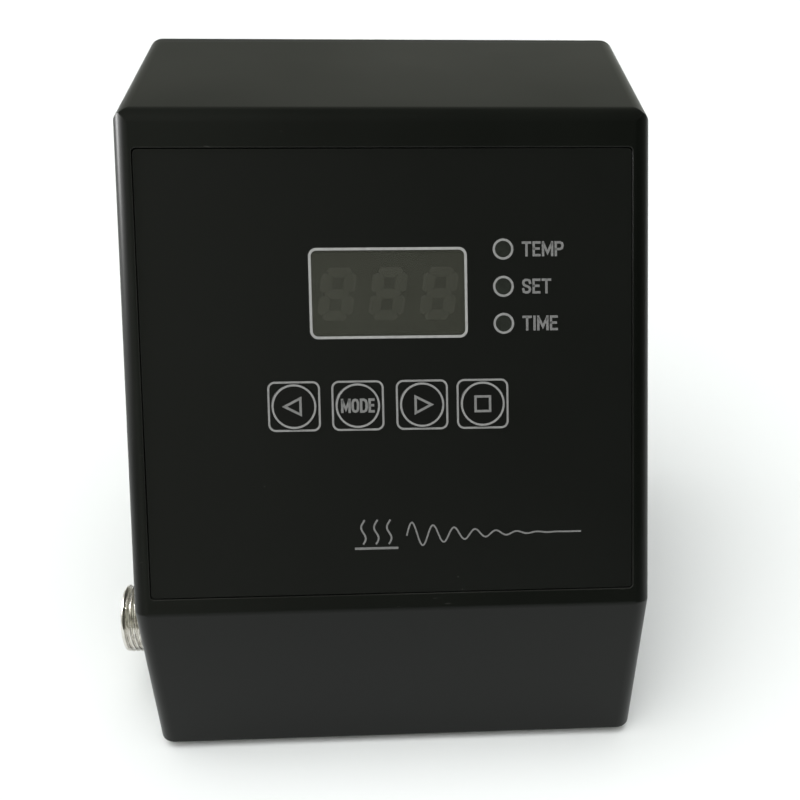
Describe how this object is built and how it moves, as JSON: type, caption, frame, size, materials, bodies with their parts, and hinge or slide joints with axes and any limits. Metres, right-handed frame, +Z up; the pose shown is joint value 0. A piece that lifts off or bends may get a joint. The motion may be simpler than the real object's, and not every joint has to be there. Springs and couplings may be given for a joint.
{
  "type": "mug heat press control box",
  "caption": "Black sloped-face control console for a mug heat press: digit display, domed membrane keys, indicator lights, threaded side socket, rear mains inlet with rocker and fuse drawer.",
  "frame": {"origin": "centre of the housing's underside, which is also the centre of the four tapped mounting holes in the base plate; the rubber feet reach 3 mm lower", "axes": "+Z up, -Y towards the operator, +X to the operator's right"},
  "size_m": [0.1406, 0.1279, 0.1533],
  "materials": {
    "housing_plastic": "fine moulded texture, satin black",
    "panel_steel": "black powder coat",
    "plated_steel": "bright zinc plate",
    "screw_steel": "nickel plate",
    "foot_rubber": "matt black",
    "overlay_film": "satin printed film",
    "smoked_acrylic": "dark smoked",
    "key_film": "satin domed film",
    "black_nylon": "moulded black",
    "board_laminate": "green solder mask",
    "display_case": "dark grey face",
    "segment_resin": "unlit diffused resin",
    "led_resin": "tinted red",
    "chip_epoxy": "matt black",
    "ribbon_vinyl": "grey",
    "standoff_brass": "turned",
    "core_laminations": "varnished laminations",
    "coil_tape": "yellow tape",
    "sink_aluminium": "extruded",
    "capacitor_sleeve": "shrunk sleeve",
    "film_capacitor": "yellow case",
    "terminal_nylon": "blue",
    "nickel": "bright nickel plate",
    "contact_brass": "plated contacts",
    "heater_insulation": "red silicone",
    "mains_insulation": "blue vinyl",
    "fuse_glass": "glass tube with plated caps"
  },
  "bodies": {
    "console": {"housing": "housing_plastic", "rear_panel": "panel_steel", "base_plate": "plated_steel", "rear_screws": "screw_steel", "base_screws": "screw_steel", "rubber_feet": "foot_rubber", "face_overlay": "overlay_film", "display_window": "smoked_acrylic", "indicator_lenses": "smoked_acrylic", "switch_bodies": "black_nylon", "control_board": "board_laminate", "control_board_screws": "screw_steel", "display_module": "display_case", "display_segments": "segment_resin", "indicator_leds": "led_resin", "controller_chip": "chip_epoxy", "buzzer": "black_nylon", "control_header": "black_nylon", "ribbon_cable": "ribbon_vinyl", "power_board": "board_laminate", "board_standoffs": "standoff_brass", "power_board_screws": "screw_steel", "transformer_core": "core_laminations", "transformer_coil": "coil_tape", "heat_sink": "sink_aluminium", "triac": "chip_epoxy", "triac_screw": "screw_steel", "smoothing_capacitor": "capacitor_sleeve", "suppression_capacitor": "film_capacitor", "optocoupler": "chip_epoxy", "terminal_block": "terminal_nylon", "terminal_screws": "screw_steel", "power_header": "black_nylon", "socket_shell": "nickel", "socket_insert": "black_nylon", "socket_pins": "contact_brass", "socket_washer": "plated_steel", "socket_nut": "nickel", "heater_wires": "heater_insulation", "inlet_body": "black_nylon", "inlet_blades": "contact_brass", "inlet_screws": "screw_steel", "mains_wires": "mains_insulation"},
    "left_key": {"key_left": "key_film", "plunger_left": "black_nylon"},
    "mode_key": {"key_mode": "key_film", "plunger_mode": "black_nylon"},
    "right_key": {"key_right": "key_film", "plunger_right": "black_nylon"},
    "stop_key": {"key_stop": "key_film", "plunger_stop": "black_nylon"},
    "rocker": {"power_rocker": "black_nylon"},
    "drawer": {"fuse_drawer": "black_nylon", "fuse": "fuse_glass"}
  },
  "joints": [
    {"name": "left_key_press", "type": "slide", "parent": "console", "child": "left_key", "axis": [0, 0.8425, -0.5388], "range_m": [0, 0.0004], "stiffness_N_per_m": 2000},
    {"name": "mode_key_press", "type": "slide", "parent": "console", "child": "mode_key", "axis": [0, 0.8425, -0.5388], "range_m": [0, 0.0004], "stiffness_N_per_m": 2000},
    {"name": "right_key_press", "type": "slide", "parent": "console", "child": "right_key", "axis": [0, 0.8425, -0.5388], "range_m": [0, 0.0004], "stiffness_N_per_m": 2000},
    {"name": "stop_key_press", "type": "slide", "parent": "console", "child": "stop_key", "axis": [0, 0.8425, -0.5388], "range_m": [0, 0.0004], "stiffness_N_per_m": 2000},
    {"name": "rocker_swing", "type": "hinge", "parent": "console", "child": "rocker", "pos_m": [0.034, 0.0605, 0.0254], "axis": [0, 0, 1], "range_deg": [0, 16]},
    {"name": "drawer_slide", "type": "slide", "parent": "console", "child": "drawer", "axis": [0, 1, 0], "range_m": [0, 0.022]}
  ]
}
